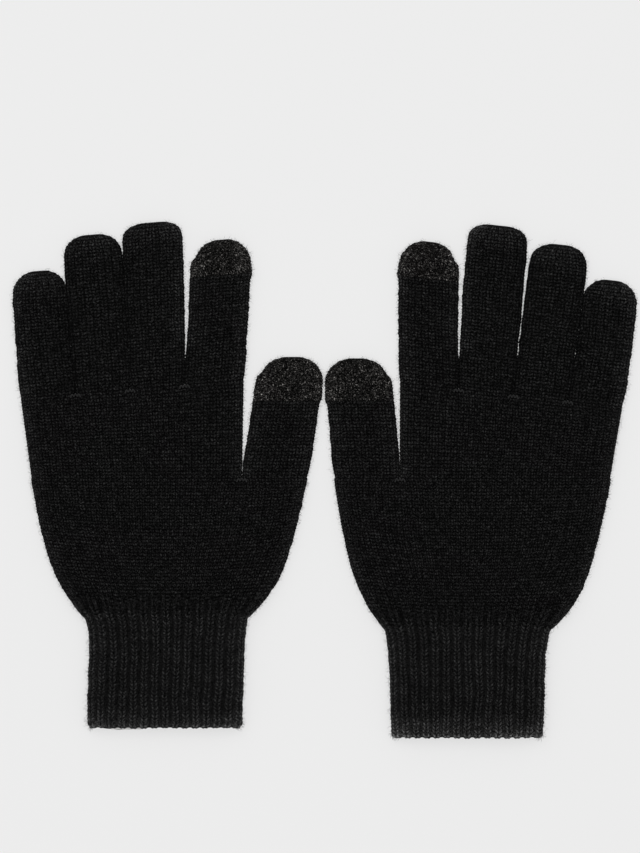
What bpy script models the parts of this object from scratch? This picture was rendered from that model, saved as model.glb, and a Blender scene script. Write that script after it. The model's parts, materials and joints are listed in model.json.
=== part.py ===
"""A pair of knitted touchscreen gloves lying flat and empty, palms up, fingers towards +Y.

Each glove is a set of knitted tubes: a ribbed cuff, a lower palm that carries the thumb, an upper palm
that carries four fingers, and fingers that fold towards the palm (+Z). The hinge of each fold lies on the
upper skin, along the line where two tubes meet. All four knuckle hinges of a glove are parallel, and so
are its middle finger hinges, so that fingers that curl together keep their places side by side.

Sizes are in millimetres and become metres as meshes are made. Inside a glove, "across" runs from the
middle of the wrist towards the thumb and "along" runs from the wrist towards the fingertips.
"""

import math

import bmesh
import bpy
from mathutils import Vector

MM = 0.001

# Knitted walls and gaps
WALL = 1.6  # one layer of the plain knit
RIB_WALL = 1.9  # one layer of the ribbed cuff
SEAM_GAP = 0.5  # between two tubes of the same body
FOLD_GAP = 1.0  # between two tubes that fold
SIDE_GAP = 0.8  # between the roots of neighbouring fingers

# Thickness of the empty tubes as they lie
FINGER_THICK = 8.4
PALM_THICK = 10.0
CUFF_THICK = 10.8

# Palm
TRUNK_AT_THUMB = 100.8  # width of the four-finger trunk at the thumb's fork
SHOULDER_SHARE = 0.52  # share of the palm's spread that comes in the round shoulder above the wrist
SHOULDER_POWER = 5.0  # how quickly that shoulder rounds off

# Cuff
CUFF_WIDTH = 75.0
CUFF_LENGTH = 53.2
HEM_LENGTH = 3.4
ELASTIC_RADIUS = 0.3
ELASTIC_TURNS = 4
ELASTIC_PITCH = 5.5
ELASTIC_FROM_HEM = 17.0
ELASTIC_CLEARANCE = 0.35
LABEL_WIDTH = 14.4
LABEL_LENGTH = 13.0
LABEL_THICK = 0.5
LABEL_OFFSET = 19.0  # from the middle of the cuff towards the little finger's side
LABEL_PROUD = 0.6  # how far it looks out of the hem

# Fingers, from the index to the little finger. "root" is the width that a finger takes of the knuckle
# row, "full" is its greatest width, "cap" is the length over which the outline rounds off at the tip,
# "boxy" is how square that cap is, and "fold" is the share of the length below its middle joint.
FINGERS = {
    "index": {"root": 28.4, "full": 29.0, "length": 69.8, "cap": 14.5, "boxy": 2.1, "fold": 0.40},
    "middle": {"root": 26.3, "full": 28.4, "length": 79.0, "cap": 9.0, "boxy": 2.6, "fold": 0.40},
    "ring": {"root": 26.2, "full": 27.4, "length": 75.0, "cap": 11.0, "boxy": 2.3, "fold": 0.40},
    "little": {"root": 26.3, "full": 26.0, "length": 60.6, "cap": 12.0, "boxy": 2.2, "fold": 0.40},
}
THUMB = {"root": 31.2, "full": 31.2, "length": 58.4, "cap": 13.5, "boxy": 2.1, "fold": 0.46}
FULL_AT = 0.6  # share of the length at which a finger is at its widest
INDEX_TOUCH_LENGTH = 18.5
THUMB_TOUCH_LENGTH = 21.0

# The two gloves lie with their thumbs towards each other
THUMBS_APART = 2.17  # gap between the two thumbs
THUMBS_MEET_AT = -0.86  # X of the middle of that gap

# How each glove lies. "thumb_side" is +1 where the thumb is towards +X, "wrist" is the wrist's Y. "gaps"
# are those between neighbouring fingers where they are widest, from the index to the little finger; each
# finger is turned from its neighbour by what its own width and that gap need.
LAYS = {
    "left": {
        "thumb_side": 1,
        "wrist": -65.4,
        "palm_length": 109.5,
        "knuckle_lean": 16.1,
        "knuckle_tilt": 4.75,
        "thumb_rise": 66.7,
        "thumb_lean": 13.9,
        "thumb_turn": 8.2,
        "middle_turn": -1.4,
        "gaps": (1.6, 0.7, 0.7),
    },
    "right": {
        "thumb_side": -1,
        "wrist": -71.1,
        "palm_length": 112.5,
        "knuckle_lean": 21.1,
        "knuckle_tilt": 6.2,
        "thumb_rise": 72.4,
        "thumb_lean": 18.1,
        "thumb_turn": 6.0,
        "middle_turn": -4.0,
        "gaps": (2.2, 0.7, 1.2),
    },
}

# Closing stitches in the forks
STITCH_RADIUS = 0.35
STITCH_LENGTH = 3.2
STITCH_STEP = 0.9
STITCH_INSET = 1.0  # from the fork
STITCH_CLEARANCE = 0.35  # over the knit that it closes

EDGE_STEPS = 6  # facets of a tube's half-round edge
CAP_ANGLES = (0, 28, 50, 68, 80)  # rings of a closed fingertip, in degrees along its cap
THUMB_REACH_STEPS = 100  # places along the thumb where its outermost point is looked for

BLACK_YARN = ((0.012, 0.012, 0.013, 1.0), 0.9)
TOUCH_YARN = ((0.035, 0.034, 0.033, 1.0), 0.8)
LABEL_CLOTH = ((0.75, 0.75, 0.73, 1.0), 0.6)


def clear_scene():
    for thing in list(bpy.data.objects):
        bpy.data.objects.remove(thing, do_unlink=True)


def yarn_material(name, look):
    colour, roughness = look
    material = bpy.data.materials.new(name)
    material.use_nodes = True
    shader = material.node_tree.nodes["Principled BSDF"]
    shader.inputs["Base Color"].default_value = colour
    shader.inputs["Roughness"].default_value = roughness
    shader.inputs["Metallic"].default_value = 0.0
    return material


class Glove:
    """Turns a glove's own across and along into the scene's X and Y."""

    def __init__(self, name):
        self.name = name
        self.lay = LAYS[name]
        tilt = math.radians(self.lay["knuckle_tilt"])
        self.row = Vector((math.cos(tilt), math.sin(tilt)))
        self.knuckles = Vector((-self.lay["knuckle_lean"], self.lay["palm_length"]))
        self.wrist = Vector((self.wrist_x(), self.lay["wrist"]))

    def wrist_x(self):
        """Where the wrist lies so that the thumb's outermost point ends at its side of the gap."""
        base = thumb_base(self)
        lean = self.direction(self.lay["thumb_turn"]).x
        reach = 0.0
        for step in range(THUMB_REACH_STEPS + 1):
            at = THUMB["length"] * step / THUMB_REACH_STEPS
            reach = max(reach, base.x + lean * at + finger_width(THUMB, 0.0, at) / 2)
        return THUMBS_MEET_AT - self.lay["thumb_side"] * (reach + THUMBS_APART / 2)

    def point(self, spot, height):
        x = self.wrist.x + self.lay["thumb_side"] * spot[0]
        return Vector((x, self.wrist.y + spot[1], height)) * MM

    def direction(self, turn):
        """Unit vector at an angle from along, positive towards the thumb."""
        angle = math.radians(turn)
        return Vector((math.sin(angle), math.cos(angle)))


def flat_ring(glove, middle, row, width, thick, floor):
    """A flat tube's section: level above and below, half round at both edges, bottom at floor."""
    radius = min(thick, width) / 2
    reach = width / 2 - radius
    ring = []
    for side in (1, -1):
        for step in range(EDGE_STEPS + 1):
            angle = math.radians(-90 + 180 * step / EDGE_STEPS)
            across = side * (reach + radius * math.cos(angle))
            height = floor + thick / 2 + side * thick / 2 * math.sin(angle)
            ring.append(glove.point(middle + row * across, height))
    return ring


def tube_object(name, outer, inner, closed_tip, material, hinge):
    """One closed solid between an outer and an inner skin, its origin on the hinge it follows."""
    origin = hinge.matrix_world.translation if hinge else Vector((0, 0, 0))
    mesh = bmesh.new()
    skins = []
    for rings in (outer, inner):
        skins.append([[mesh.verts.new(point - origin) for point in ring] for ring in rings])
    for rings in skins:
        for first, second in zip(rings, rings[1:]):
            join_rings(mesh, first, second)
        if closed_tip:
            mesh.faces.new(rings[-1])
    join_rings(mesh, skins[0][0], skins[1][0])
    if not closed_tip:
        join_rings(mesh, skins[0][-1], skins[1][-1])
    bmesh.ops.recalc_face_normals(mesh, faces=mesh.faces)
    return finish_object(name, mesh, material, hinge)


def join_rings(mesh, first, second):
    count = len(first)
    for i in range(count):
        j = (i + 1) % count
        mesh.faces.new((first[i], first[j], second[j], second[i]))


def finish_object(name, mesh, material, hinge):
    data = bpy.data.meshes.new(name)
    mesh.to_mesh(data)
    mesh.free()
    data.shade_smooth()
    data.set_sharp_from_angle(angle=math.radians(40))
    data.materials.append(material)
    thing = bpy.data.objects.new(name, data)
    bpy.context.collection.objects.link(thing)
    thing.parent = hinge
    return thing


def hinge_empty(name, point, parent=None):
    """An empty on a hinge's axis, for the pieces that turn with it."""
    empty = bpy.data.objects.new(name, None)
    bpy.context.collection.objects.link(empty)
    empty.parent = parent
    base = parent.matrix_world.translation if parent else Vector((0, 0, 0))
    empty.location = point - base
    bpy.context.view_layer.update()
    return empty


def finger_width(shape, wall, at):
    """Width of a finger's skin, the outer one or the one a wall further in, at a place along it."""
    root = shape["root"] - SIDE_GAP - 2 * wall
    full = shape["full"] - 2 * wall
    length = shape["length"] - wall
    swell = min(1.0, at / (FULL_AT * shape["length"]))
    width = root + (full - root) * swell
    into_cap = (at - (length - shape["cap"])) / shape["cap"]
    if into_cap > 0:
        power = shape["boxy"]
        width *= (1 - min(into_cap, 1.0) ** power) ** (1 / power)
    return width


def finger_thick(shape, wall, at):
    """Thickness of a finger's skin, which rounds off over half its height at the tip."""
    thick = FINGER_THICK - 2 * wall
    radius = thick / 2
    into_round = (at - (shape["length"] - wall - radius)) / radius
    if into_round > 0:
        thick *= math.sqrt(1 - min(into_round, 0.97) ** 2)
    return thick


def finger_rings(glove, base, row, turn, shape, wall, stations):
    """Rings of a finger's skin at the given places along it, parallel to its row of hinges."""
    rings = []
    for at in stations:
        width = finger_width(shape, wall, at)
        thick = finger_thick(shape, wall, at)
        middle = base + glove.direction(turn) * at
        rings.append(flat_ring(glove, middle, row, width, thick, (FINGER_THICK - thick) / 2))
    return rings


def finger_piece(glove, name, base, row, turn, shape, start, end, material, hinge):
    """The stretch of a finger from start to end; the last stretch of a finger is closed at the tip."""
    closed_tip = end is None
    skins = []
    for wall in (0.0, WALL):
        if closed_tip:
            cap_start = shape["length"] - wall - shape["cap"]
            stations = [start] if start < cap_start - WALL else []
            for angle in CAP_ANGLES:
                stations.append(cap_start + shape["cap"] * math.sin(math.radians(angle)))
            if not start < cap_start - WALL:
                stations = [start] + [at for at in stations if at > start + WALL]
        else:
            stations = [start, (start + end) / 2, end]
        skins.append(finger_rings(glove, base, row, turn, shape, wall, stations))
    return tube_object(name, skins[0], skins[1], closed_tip, material, hinge)


def make_digit(glove, digit, base, row, turn, shape, touch_length, materials):
    """A finger or thumb: base piece, end piece and, where it has one, the touch tip."""
    prefix = f"{glove.name}_{digit}"
    direction = glove.direction(turn)
    fold = shape["fold"] * shape["length"]
    root_hinge = hinge_empty(f"{prefix}_root_hinge", glove.point(base, FINGER_THICK))
    fold_point = glove.point(base + direction * fold, FINGER_THICK)
    fold_hinge = hinge_empty(f"{prefix}_fold_hinge", fold_point, root_hinge)
    start = FOLD_GAP / 2
    end = fold - FOLD_GAP / 2
    finger_piece(glove, f"{prefix}_base", base, row, turn, shape, start, end, materials["yarn"], root_hinge)
    start = fold + FOLD_GAP / 2
    if touch_length:
        seam = shape["length"] - touch_length
        end = seam - SEAM_GAP / 2
        finger_piece(glove, f"{prefix}_end", base, row, turn, shape, start, end, materials["yarn"],
                     fold_hinge)
        start = seam + SEAM_GAP / 2
        finger_piece(glove, f"{prefix}_touch_tip", base, row, turn, shape, start, None,
                     materials["touch"], fold_hinge)
    else:
        finger_piece(glove, f"{prefix}_end", base, row, turn, shape, start, None,
                     materials["yarn"], fold_hinge)


def finger_turns(glove):
    """Each finger's angle: the middle finger's is given, and its neighbours open by what they need."""
    names = list(FINGERS)
    opening = []
    for (first, second), gap in zip(zip(names, names[1:]), glove.lay["gaps"]):
        a, b = FINGERS[first], FINGERS[second]
        reach = FULL_AT * min(a["length"], b["length"])
        need = (a["full"] + b["full"]) / 2 + gap - (a["root"] + b["root"]) / 2
        opening.append(math.degrees(math.atan2(need, reach)))
    middle = glove.lay["middle_turn"]
    ring = middle - opening[1]
    return dict(zip(names, (middle + opening[0], middle, ring, ring - opening[2])))


def row_width():
    return sum(shape["root"] for shape in FINGERS.values())


def make_fingers(glove, materials):
    turns = finger_turns(glove)
    place = row_width() / 2
    forks = []
    for digit, shape in FINGERS.items():
        base = glove.knuckles + glove.row * (place - shape["root"] / 2)
        touch = INDEX_TOUCH_LENGTH if digit == "index" else 0
        make_digit(glove, digit, base, glove.row, turns[digit], shape, touch, materials)
        place -= shape["root"]
        forks.append(glove.knuckles + glove.row * place)
    return forks[:-1]


def thumb_fork(glove):
    return Vector((TRUNK_AT_THUMB / 2 - glove.lay["thumb_lean"], glove.lay["thumb_rise"]))


def thumb_base(glove):
    return thumb_fork(glove) + Vector((THUMB["root"] / 2, 0))


def make_thumb(glove, materials):
    make_digit(glove, "thumb", thumb_base(glove), Vector((1, 0)), glove.lay["thumb_turn"], THUMB,
               THUMB_TOUCH_LENGTH, materials)


def palm_ring(glove, low, high, wall):
    """A palm section between its little finger edge and its thumb edge."""
    middle = (low + high) / 2
    span = high - low
    thick = PALM_THICK - 2 * wall
    return flat_ring(glove, middle, span.normalized(), span.length - 2 * wall, thick, wall)


def make_lower_palm(glove, material):
    """From the wrist to the thumb's fork, wide enough there for four fingers and the thumb."""
    fork = thumb_fork(glove)
    wrist_low, wrist_high = Vector((-CUFF_WIDTH / 2, 0)), Vector((CUFF_WIDTH / 2, 0))
    top_low, top_high = fork - Vector((TRUNK_AT_THUMB, 0)), fork + Vector((THUMB["root"], 0))
    start = FOLD_GAP / 2
    end = fork.y - SEAM_GAP / 2
    skins = []
    for wall in (0.0, WALL):
        rings = []
        for share in (0.0, 0.05, 0.13, 0.25, 0.45, 0.7, 1.0):
            shoulder = 1 - (1 - share) ** SHOULDER_POWER
            spread = SHOULDER_SHARE * shoulder + (1 - SHOULDER_SHARE) * share
            along = start + (end - start) * share
            low = wrist_low.lerp(top_low, spread)
            high = wrist_high.lerp(top_high, spread)
            rings.append(palm_ring(glove, Vector((low.x, along)), Vector((high.x, along)), wall))
        skins.append(rings)
    return tube_object(f"{glove.name}_lower_palm", skins[0], skins[1], False, material, None)


def make_upper_palm(glove, material):
    """From the thumb's fork to the knuckle row."""
    fork = thumb_fork(glove)
    along = Vector((0, SEAM_GAP / 2))
    half_gap = Vector((SIDE_GAP / 2, 0))
    bottom_low, bottom_high = fork - Vector((TRUNK_AT_THUMB, 0)) + along, fork - half_gap + along
    normal = Vector((-glove.row.y, glove.row.x))
    row_middle = glove.knuckles - normal * (FOLD_GAP / 2)
    reach = glove.row * (row_width() / 2)
    top_low, top_high = row_middle - reach, row_middle + reach
    skins = []
    for wall in (0.0, WALL):
        rings = []
        for share in (0.0, 0.5, 1.0):
            rings.append(palm_ring(glove, bottom_low.lerp(top_low, share),
                                   bottom_high.lerp(top_high, share), wall))
        skins.append(rings)
    return tube_object(f"{glove.name}_upper_palm", skins[0], skins[1], False, material, None)


def cuff_skins(glove, stations):
    skins = []
    for wall in (0.0, RIB_WALL):
        thick = CUFF_THICK - 2 * wall
        width = CUFF_WIDTH - 2 * wall
        skins.append([flat_ring(glove, Vector((0, at)), Vector((1, 0)), width, thick,
                                wall) for at in stations])
    return skins


def make_cuff(glove, material, hinge):
    hem_line = HEM_LENGTH - CUFF_LENGTH
    outer, inner = cuff_skins(glove, (-FOLD_GAP / 2, hem_line / 2, hem_line + SEAM_GAP / 2))
    tube_object(f"{glove.name}_cuff", outer, inner, False, material, hinge)
    outer, inner = cuff_skins(glove, (hem_line - SEAM_GAP / 2, -CUFF_LENGTH))
    tube_object(f"{glove.name}_cuff_hem", outer, inner, False, material, hinge)


def thread_object(name, points, radius, material, hinge):
    """A round thread along a list of points, closed at both ends."""
    origin = hinge.matrix_world.translation if hinge else Vector((0, 0, 0))
    curve = bpy.data.curves.new(name, "CURVE")
    curve.dimensions = "3D"
    curve.bevel_depth = radius * MM
    curve.bevel_resolution = 1
    curve.use_fill_caps = True
    spline = curve.splines.new("POLY")
    spline.points.add(len(points) - 1)
    for knot, point in zip(spline.points, points):
        knot.co = (*(point - origin), 1.0)
    curve.materials.append(material)
    thing = bpy.data.objects.new(name, curve)
    bpy.context.collection.objects.link(thing)
    thing.parent = hinge
    return thing


def make_elastic(glove, material, hinge):
    """The elastic laid in round the inside of the cuff, one thread in several turns."""
    inset = RIB_WALL + ELASTIC_CLEARANCE + ELASTIC_RADIUS
    radius = CUFF_THICK / 2 - inset
    reach = CUFF_WIDTH / 2 - CUFF_THICK / 2
    steps = 8  # along each flat and round each edge
    lap = []
    for side in (1, -1):
        for step in range(steps):
            angle = math.radians(-90 + 180 * step / steps)
            lap.append((side * (reach + radius * math.cos(angle)), side * radius * math.sin(angle)))
        for step in range(steps):
            lap.append((side * (reach - 2 * reach * step / steps), side * radius))
    points = []
    for i in range(ELASTIC_TURNS * len(lap)):
        across, height = lap[i % len(lap)]
        along = -CUFF_LENGTH + ELASTIC_FROM_HEM + ELASTIC_PITCH * i / len(lap)
        points.append(glove.point(Vector((across, along)), CUFF_THICK / 2 + height))
    thread_object(f"{glove.name}_cuff_elastic", points, ELASTIC_RADIUS, material, hinge)


def make_fork_stitch(glove, name, fork, row, floor, material):
    """A small zigzag of yarn over the knit that closes a fork."""
    normal = Vector((-row.y, row.x))
    height = floor + STITCH_CLEARANCE + STITCH_RADIUS
    points = []
    for i in range(5):
        back = STITCH_INSET + (0 if i % 2 else STITCH_LENGTH)
        points.append(glove.point(fork + row * (STITCH_STEP * (i - 2)) - normal * back, height))
    thread_object(name, points, STITCH_RADIUS, material, None)


def make_label(glove, material, hinge):
    """A blank care label on the cuff's lower inner wall, its edge just outside the hem."""
    floor = RIB_WALL + ELASTIC_CLEARANCE
    low = glove.point(Vector((-LABEL_OFFSET - LABEL_WIDTH / 2, -CUFF_LENGTH - LABEL_PROUD)), floor)
    high = glove.point(Vector((-LABEL_OFFSET + LABEL_WIDTH / 2, -CUFF_LENGTH - LABEL_PROUD + LABEL_LENGTH)),
                       floor + LABEL_THICK)
    origin = hinge.matrix_world.translation
    mesh = bmesh.new()
    bmesh.ops.create_cube(mesh, size=1.0)
    size = high - low
    middle = (low + high) / 2 - origin
    for vert in mesh.verts:
        vert.co = middle + Vector((vert.co.x * size.x, vert.co.y * size.y, vert.co.z * size.z))
    bmesh.ops.recalc_face_normals(mesh, faces=mesh.faces)
    finish_object(f"{glove.name}_care_label", mesh, material, hinge)


def make_glove(name, materials):
    glove = Glove(name)
    make_lower_palm(glove, materials["yarn"])
    make_upper_palm(glove, materials["yarn"])
    wrist = hinge_empty(f"{name}_wrist_hinge", glove.point(Vector((0, 0)), CUFF_THICK))
    make_cuff(glove, materials["yarn"], wrist)
    make_elastic(glove, materials["yarn"], wrist)
    forks = make_fingers(glove, materials)
    for digit, fork in zip(("index", "middle", "ring"), forks):
        make_fork_stitch(glove, f"{name}_{digit}_fork_stitch", fork, glove.row, PALM_THICK,
                         materials["yarn"])
    make_thumb(glove, materials)
    make_fork_stitch(glove, f"{name}_thumb_fork_stitch", thumb_fork(glove), Vector((1, 0)), PALM_THICK,
                     materials["yarn"])
    if name == "left":
        make_label(glove, materials["label"], wrist)


def main():
    clear_scene()
    materials = {
        "yarn": yarn_material("black_yarn", BLACK_YARN),
        "touch": yarn_material("touch_yarn", TOUCH_YARN),
        "label": yarn_material("label_cloth", LABEL_CLOTH),
    }
    for name in LAYS:
        make_glove(name, materials)


main()
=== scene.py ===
"""A pair of knitted touchscreen gloves lying flat, dressed in stitches, ribs, yarn fuzz and thread.

Every knitted piece is a closed shell: an outer skin with real stitches, a plain inner skin, and rims that
join them. Sizes are in millimetres, as a knitter measures, and become metres when a mesh is made.
"""

import json
import math

import bmesh
import bpy
import numpy as np
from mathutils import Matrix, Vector
from mathutils.bvhtree import BVHTree


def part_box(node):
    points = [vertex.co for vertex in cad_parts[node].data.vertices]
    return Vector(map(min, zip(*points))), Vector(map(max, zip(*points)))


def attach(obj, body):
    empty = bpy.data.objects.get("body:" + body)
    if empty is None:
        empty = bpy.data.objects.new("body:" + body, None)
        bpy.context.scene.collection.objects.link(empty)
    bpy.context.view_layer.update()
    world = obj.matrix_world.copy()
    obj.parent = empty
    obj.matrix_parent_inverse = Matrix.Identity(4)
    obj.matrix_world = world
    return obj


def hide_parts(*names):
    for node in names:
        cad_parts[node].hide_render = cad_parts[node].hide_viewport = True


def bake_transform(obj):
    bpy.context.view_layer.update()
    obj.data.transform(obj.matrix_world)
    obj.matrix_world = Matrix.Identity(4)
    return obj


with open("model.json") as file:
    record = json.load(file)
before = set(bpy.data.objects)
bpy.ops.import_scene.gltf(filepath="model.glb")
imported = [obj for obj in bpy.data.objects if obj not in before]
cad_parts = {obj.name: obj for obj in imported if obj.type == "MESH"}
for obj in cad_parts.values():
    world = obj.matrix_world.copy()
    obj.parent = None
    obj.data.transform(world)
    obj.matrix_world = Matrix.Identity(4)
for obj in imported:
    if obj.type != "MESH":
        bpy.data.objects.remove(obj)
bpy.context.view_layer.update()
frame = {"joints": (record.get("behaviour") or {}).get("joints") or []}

MM = 0.001

# Stitches of the plain knit: each is a V of two legs
COURSE = 1.62  # height of one stitch
LEG_WIDTH = 1.3
LEG_COLUMNS = 4  # columns of the mesh in one leg
COURSE_ROWS = 3  # rows of the mesh in one stitch
STITCH_RELIEF = 0.34
CHEVRON = 0.35  # how far a stitch's legs rise, as a share of its height

# The ribbed cuff
RIBS = 15  # across one face
RIB_COLUMNS = 12  # columns of the mesh in one rib
CUFF_COLUMNS = RIBS * RIB_COLUMNS
RIB_WIDTH = 5.0
RIB_COURSE = 1.86
RIB_ROWS = 4  # rows of the mesh in one course
HEM_ROWS = 8  # the same in the hem
RIB_HALF = 0.385  # half of a rib's width, as a share of the pitch
RIB_RELIEF = 0.7
RIB_STITCH_RELIEF = 0.5
RIB_CHEVRON = 1.7
NECK_RELIEF = 0.7  # share of the ribs' relief that is left at the neck

# Sections of the empty tubes: heights of the top, the underside and the edge, and how far in they round
FINGER_TOP = 8.0
PALM_TOP = 9.4
CUFF_TOP = 9.1
UNDERSIDE = 0.35
UNDER_ROUND = 4.0
FINGER_EDGE = 2.5
PALM_EDGE = 2.5
CUFF_EDGE = 4.6
CUFF_ROUND = 13.0
PALM_ROUND = 19.0
SWELL = 0.4  # unevenness of the empty tubes
EDGE_ROUGH = 0.22  # unevenness of their outlines
KNIT_WALL = 0.9
STITCH_OVERHANG = 0.05  # how far the stitches stand out at each side of a tube

# Outlines, the same as the part's
TRUNK_AT_THUMB = 100.8
# Each palm edge: half width at the wrist, share and sharpness of the round shoulder, swell at the thumb
SHOULDERS = {
    "left": {"little": (38.8, 0.52, 4.5, 0.75), "thumb": (39.0, 0.48, 5.5, 0.75)},
    "right": {"little": (39.7, 0.43, 6.5, 1.55), "thumb": (39.2, 0.48, 5.0, 1.1)},
}
# Each cuff edge: how far out it lies at a distance below the wrist
CUFF_SIDES = {
    "left": {
        "little": ((0, 38.6), (2, 38.0), (6, 37.4), (13, 37.0), (26, 37.3), (42, 37.9), (53.2, 37.7)),
        "thumb": ((0, 39.0), (2, 38.9), (8, 38.6), (14, 38.0), (28, 37.6), (42, 37.1), (53.2, 36.8)),
    },
    "right": {
        "little": ((0, 39.8), (2, 39.3), (6, 38.9), (12, 37.9), (24, 37.4), (36, 37.3), (53.2, 36.4)),
        "thumb": ((0, 39.3), (2, 39.0), (6, 38.7), (14, 38.0), (22, 37.4), (36, 37.0), (53.2, 36.5)),
    },
}
CUFF_LENGTH = 53.2
# The fork stitches: yarn, step from one turn to the next, how far its turns lie below the fork, and how far
# below it the cloth under them is flat
FORK_YARN_RADIUS = 0.32
FORK_STEP = 0.8
FORK_BACK = (1.8, -0.6)
FORK_ON_CLOTH = 1.2
SLACK_SAG = 1.1  # how far the slack yarn hangs out of the hem
SLACK_RADIUS = 0.28
HEM_LENGTH = 3.4
HEM_END = {"left": 52.6, "right": 51.6}  # where the hem's roll ends below the wrist
# Painted highlight on the hem: how much lighter it is painted at its line and at its edge, and how far up the
# cuff that reaches
HEM_PAINTED_HIGHLIGHT = {"left": (1.65, 3.3, 7.5), "right": (2.5, 4.6, 10.0)}
ELASTIC_RADIUS = 0.3
ELASTIC_TURNS = 4
ELASTIC_PITCH = 5.5
ELASTIC_FROM_HEM = 17.0
SIDE_GAP = -0.05  # room between two fingers at their roots; below 0 they press together
FULL_AT = 0.6  # share of a finger's length at which it reaches its full width
PRESSED = 0.6  # how much wider the fingers lie just above the forks, where they press together
PALM_LENGTH = {"left": 109.5, "right": 112.5}
KNUCKLE_LEAN = {"left": 16.1, "right": 21.1}
THUMB_LEAN = {"left": 13.9, "right": 18.1}
# Each digit: widths at its root and at its fullest, length, length and squareness of its round end, length of
# its touch tip, and legs of stitches across one face
DIGIT_SIZES = ("root", "full", "length", "cap", "boxy", "touch", "legs")
DIGITS = {
    "index": (28.4, 29.0, 69.8, 14.5, 2.1, 18.5, 20),
    "middle": (26.3, 28.4, 79.0, 9.0, 2.6, 0.0, 20),
    "ring": (26.2, 27.4, 75.0, 11.0, 2.3, 0.0, 18),
    "little": (26.3, 26.0, 60.6, 12.0, 2.2, 0.0, 18),
    "thumb": (31.2, 31.2, 58.4, 13.5, 2.1, 21.0, 22),
}
DIGITS = {digit: dict(zip(DIGIT_SIZES, sizes)) for digit, sizes in DIGITS.items()}
FINGERS = ("little", "ring", "middle", "index")
ROW_WIDTH = sum(DIGITS[d]["root"] for d in ("index", "middle", "ring", "little"))
SCALE = {digit: TRUNK_AT_THUMB / ROW_WIDTH for digit in DIGITS}
SCALE["thumb"] = 1.0
PALM_LEGS = sum(shape["legs"] for shape in DIGITS.values())
ROOT_PIECE = 18.0  # where a finger's root piece ends
FORK_CREASE = 14.0  # how far down a palm the creases from the forks run
FORK_OPENS = 9.0  # length over which a finger comes free of its fork
FORK_ROOM = 0.2
PALM_BOW = 3.0  # how much higher the courses of the lower palm lie at its edges
RIBS_KEEP = 46.0  # length over which the stitches above the ribs keep together before they spread evenly
GATHER_PIECE = 25.92  # length of the palm piece that holds them
GATHER = 24.0  # length over which the tube opens out from the cuff to the palm
RIBS_FADE = 17.0  # length over which the ribs run out into plain stitches
# How each empty finger lies: shifts to +X of its tip and of its middle, and what it has of width and length
# over its size
LIES = {
    "left": {
        "index": (0.3, 0.5, 0.1, -1.1), "middle": (-0.7, -0.1, 0.7, 0.2), "ring": (0.4, 0.1, 1.1, 0.7),
        "little": (1.9, -0.2, 0.1, 0.0), "thumb": (0.1, 0.4, 0.9, 0.6),
    },
    "right": {
        "index": (1.3, -0.6, -0.1, -0.5), "middle": (0.5, -0.3, 0.6, 1.3), "ring": (0.6, 0.3, 0.5, -0.7),
        "little": (-2.0, 0.5, 0.5, -0.3), "thumb": (0.8, 0.2, 1.0, -0.4),
    },
}
# Side of each touch tip's small step
NOTCHES = {("left", "index"): -1, ("left", "thumb"): -1, ("right", "index"): 1, ("right", "thumb"): 1}
TIP_ROUND = 9.0  # length over which a tip thins to its edge
TIP_CLOSES = 1.1  # how far below its end a tip's even rows stop, and how far below it the last three lie
TIP_ROWS = (0.6, 0.28, 0.08)
NOTCH_DEPTH = 1.0
NOTCH_FROM_TIP = 9.5
HALF_COSINE = (1 - np.cos(np.linspace(0, math.pi, 61))) / 2

NAP = 22.0  # loose fibres to a square centimetre
SIDE_NAP = 0.6  # share of them that stand at the sides
STRAND_POINTS = 7  # corners of one fibre
FIBRE_THICK = 0.045
CUFF_FIBRE = 2.4  # length of the cuff's fibres
CUFF_AREA = 60  # square centimetres that they are counted for, and the same for the hem
HEM_AREA = 10
NAP_TONE = 2.6  # how much lighter they are than the yarn
SIDE_PAINTED_HIGHLIGHT = 0.9  # painted highlight: how much lighter the yarn is painted at an open side, over the width of its band
SIDE_BAND = 9.0
CREASE_SHADE = 0.8  # painted shade: how much darker the yarn is painted where two tubes press together
CREASE_BAND = 1.8
TIP_PAINTED_HIGHLIGHT = 2.0  # painted highlight: how much lighter the yarn is painted towards the tip of a plain finger
TIP_BAND = 16.0
FLOOR_CLEAR = 0.03  # how near the floor a stitch may hang
# Whether each digit's side towards the little finger and towards the thumb lies open or pressed, which sets
# its painted highlight or painted shade
LYING = {
    "index": ("open", "open"), "middle": ("pressed", "open"), "ring": ("pressed", "pressed"),
    "little": ("open", "pressed"), "thumb": ("open", "open"),
}
LYING_AT_ROOT = {**LYING, "index": ("pressed", "open"), "middle": ("pressed", "pressed")}

joints = {joint["name"]: joint for joint in frame["joints"]}


# ---- shapes

def ease(t):
    t = np.clip(t, 0, 1)
    return t * t * (3 - 2 * t)


def round_off(t):
    """A quarter round: 0 at an edge, 1 from a radius inwards."""
    t = np.clip(t, 0, 1)
    return np.sqrt(1 - (1 - t) ** 2)


def bulge(edge, peak, into, reach):
    """Height of a section: its edge's at the side, its peak's from a reach inwards."""
    return edge + (peak - edge) * round_off(into / reach)


def undulate(x, y, seed, low=14.0, high=46.0):
    """Soft unevenness of an empty knit, from -1 to 1."""
    rng = np.random.default_rng(seed)
    total = np.zeros(np.broadcast(x, y).shape)
    for _ in range(7):
        angle = rng.uniform(0, math.pi)
        wave = 2 * math.pi / rng.uniform(low, high)
        phase = rng.uniform(0, 2 * math.pi)
        total += np.sin(wave * (x * math.cos(angle) + y * math.sin(angle)) + phase)
    return total / 4.2


def rough_edge(along, seed):
    """Small steps in a tube's outline, where courses and loose stitches lie a little out or in."""
    return EDGE_ROUGH * undulate(along, 0 * along, seed, 3.0, 11.0)


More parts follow.
